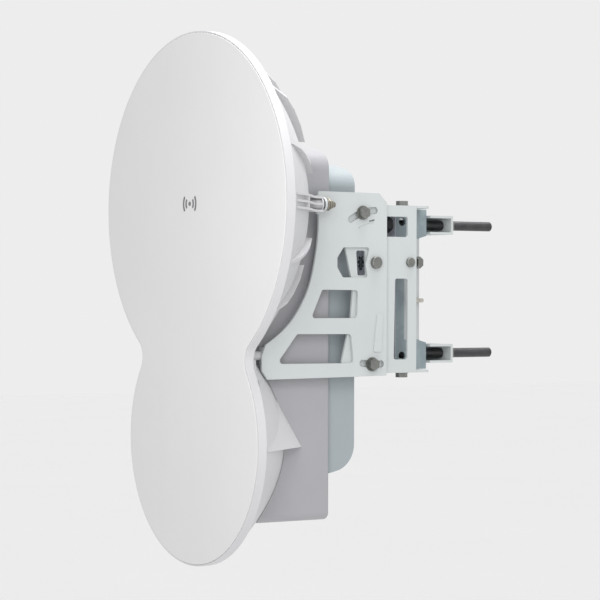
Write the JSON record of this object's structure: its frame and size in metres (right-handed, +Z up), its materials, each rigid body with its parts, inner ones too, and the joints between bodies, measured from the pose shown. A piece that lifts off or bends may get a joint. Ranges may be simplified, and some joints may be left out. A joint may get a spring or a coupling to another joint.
{
  "type": "outdoor wireless bridge",
  "caption": "Outdoor microwave radio bridge: a large and a small round dish behind one flat cover, radio housing at the back, on an adjustable steel bracket with pole clamps.",
  "frame": {"origin": "on the pole bracket's jaw plane, midway between the four clamp bolts", "axes": "+X to the right seen from the pole, towards the plate shown in the picture; +Y from the dish face to the pole, along the clamp bolts; +Z up"},
  "size_m": [0.425, 0.4115, 0.6489],
  "materials": {
    "radome_white": "satin",
    "shell_white": "satin",
    "housing_paint": "satin",
    "bracket_paint": "satin",
    "mark_grey": "satin",
    "seal_rubber": "matte",
    "feed_metal": "machined",
    "feed_plastic": "matte",
    "board_green": "satin",
    "chip_black": "matte",
    "patch_ceramic": "matte",
    "zinc_steel": "satin",
    "contact_gold": "satin",
    "window_glass": "gloss",
    "door_plastic": "matte",
    "bolt_steel": "satin",
    "stud_steel": "satin"
  },
  "bodies": {
    "pole_bracket": {"pole_bracket": "bracket_paint", "ground_screw": "zinc_steel", "clamp_bolts": "stud_steel", "az_pivot_bolts": "bolt_steel", "az_lock_bolts": "bolt_steel", "az_nuts": "bolt_steel"},
    "yoke": {"tilt_yoke": "bracket_paint", "el_pivot_bolts": "bolt_steel", "el_lock_bolts": "bolt_steel", "el_lock_nuts": "bolt_steel", "adjuster_blocks": "bracket_paint", "adjuster_pins": "bolt_steel"},
    "radio": {"radome": "radome_white", "radome_seal": "seal_rubber", "radome_mark": "mark_grey", "reflector_shell": "shell_white", "feed_tube_upper": "feed_metal", "feed_tube_lower": "feed_metal", "feed_cone_upper": "feed_plastic", "feed_cone_lower": "feed_plastic", "subreflector_upper": "feed_metal", "subreflector_lower": "feed_metal", "radio_housing": "housing_paint", "rear_cover": "housing_paint", "cover_seal": "seal_rubber", "main_board": "board_green", "processor_chips": "chip_black", "heat_spreader": "feed_metal", "transmit_module": "feed_metal", "receive_module": "feed_metal", "gps_antenna": "patch_ceramic", "board_spacers": "zinc_steel", "ethernet_jacks": "zinc_steel", "jack_contacts": "contact_gold", "audio_aux_jack": "chip_black", "gps_connector": "contact_gold", "status_window": "window_glass", "door_rails": "housing_paint", "side_plate_right": "bracket_paint", "side_plate_left": "bracket_paint", "plate_studs": "zinc_steel", "plate_gaskets": "seal_rubber", "plate_nuts": "zinc_steel"},
    "port_cover": {"port_door": "door_plastic", "door_grommets": "seal_rubber"},
    "clamp_upper": {"pole_clamp_upper": "bracket_paint", "clamp_nuts_upper": "bolt_steel"},
    "clamp_lower": {"pole_clamp_lower": "bracket_paint", "clamp_nuts_lower": "bolt_steel"},
    "az_screw": {"az_adjust_screw": "bolt_steel"},
    "el_screw": {"el_adjust_screw": "bolt_steel"}
  },
  "joints": [
    {"name": "azimuth_turn", "type": "hinge", "parent": "pole_bracket", "child": "yoke", "pos_m": [0, -0.062, 0], "axis": [0, 0, 1], "range_deg": [-10, 10]},
    {"name": "elevation_tilt", "type": "hinge", "parent": "yoke", "child": "radio", "pos_m": [0, -0.0977, 0.0323], "axis": [1, 0, 0], "range_deg": [-6, 6]},
    {"name": "port_cover_slide", "type": "slide", "parent": "radio", "child": "port_cover", "axis": [0, 1, 0], "range_m": [0, 0.048]},
    {"name": "clamp_upper_slide", "type": "slide", "parent": "pole_bracket", "child": "clamp_upper", "axis": [0, 1, 0], "range_m": [0, 0.06]},
    {"name": "clamp_lower_slide", "type": "slide", "parent": "pole_bracket", "child": "clamp_lower", "axis": [0, 1, 0], "range_m": [0, 0.06]},
    {"name": "az_screw_spin", "type": "hinge", "parent": "yoke", "child": "az_screw", "pos_m": [0.088, -0.05, 0.0332], "axis": [0, 1, 0], "range_deg": [-4500, 4500]},
    {"name": "el_screw_spin", "type": "hinge", "parent": "yoke", "child": "el_screw", "pos_m": [-0.088, -0.08, -0.0297], "axis": [0, 1, 0], "range_deg": [-1900, 1900]}
  ],
  "couplings": [
    {"joint": "az_screw_spin", "follows": "azimuth_turn", "ratio": 442.3},
    {"joint": "el_screw_spin", "follows": "elevation_tilt", "ratio": 311.6}
  ]
}
